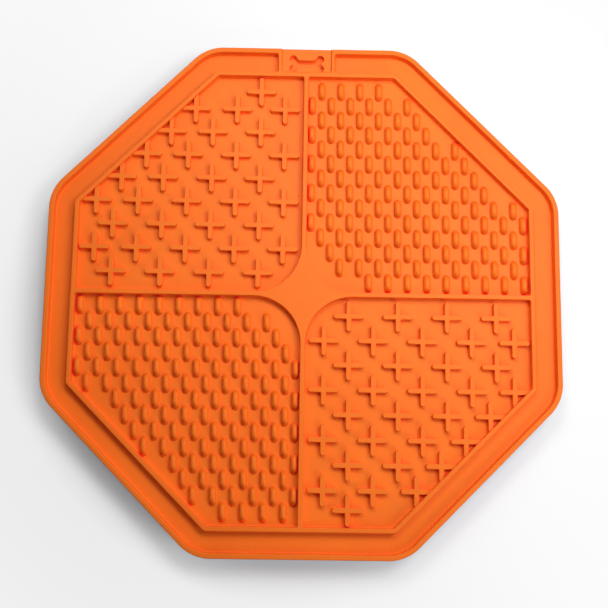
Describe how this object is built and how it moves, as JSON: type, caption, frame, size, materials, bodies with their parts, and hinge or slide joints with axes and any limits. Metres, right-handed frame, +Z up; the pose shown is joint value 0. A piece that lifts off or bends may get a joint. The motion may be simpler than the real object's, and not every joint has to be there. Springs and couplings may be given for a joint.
{
  "type": "lick mat",
  "caption": "Octagonal silicone lick mat with plus-stud and oval-nub fields, a rim channel, a bone-shaped recess in its tab and suction cups underneath.",
  "frame": {"origin": "under the middle of the mat, on the surface that the suction cups stand on", "axes": "+Y towards the side with the bone-shaped recess, +X to the right of it seen from above, +Z up"},
  "size_m": [0.21, 0.21, 0.0112],
  "materials": {
    "orange_silicone": "matte silicone, fine even grain",
    "blue_silicone": "matte silicone, slightly glossier on the cup lips"
  },
  "bodies": {
    "suction_cups": {"suction_cups_inner": "blue_silicone", "suction_cups_middle": "blue_silicone", "suction_cups_outer": "blue_silicone"},
    "mat": {"mat_floor": "orange_silicone", "outer_rim": "orange_silicone", "inner_rim": "orange_silicone", "centre_star": "orange_silicone", "divider_top": "orange_silicone", "divider_bottom": "orange_silicone", "divider_left": "orange_silicone", "divider_right": "orange_silicone", "bone_tab": "orange_silicone", "tab_wall_left": "orange_silicone", "tab_wall_right": "orange_silicone", "cross_studs_upper_left": "orange_silicone", "cross_studs_lower_right": "orange_silicone", "oval_nubs_upper_right": "orange_silicone", "oval_nubs_lower_left": "orange_silicone", "base_layer": "blue_silicone"}
  },
  "joints": [
    {"name": "press_down", "type": "slide", "parent": "suction_cups", "child": "mat", "axis": [0, 0, -1], "range_m": [0, 0.002], "stiffness_N_per_m": 20000, "deforming": ["suction_cups_inner", "suction_cups_middle", "suction_cups_outer"]}
  ]
}
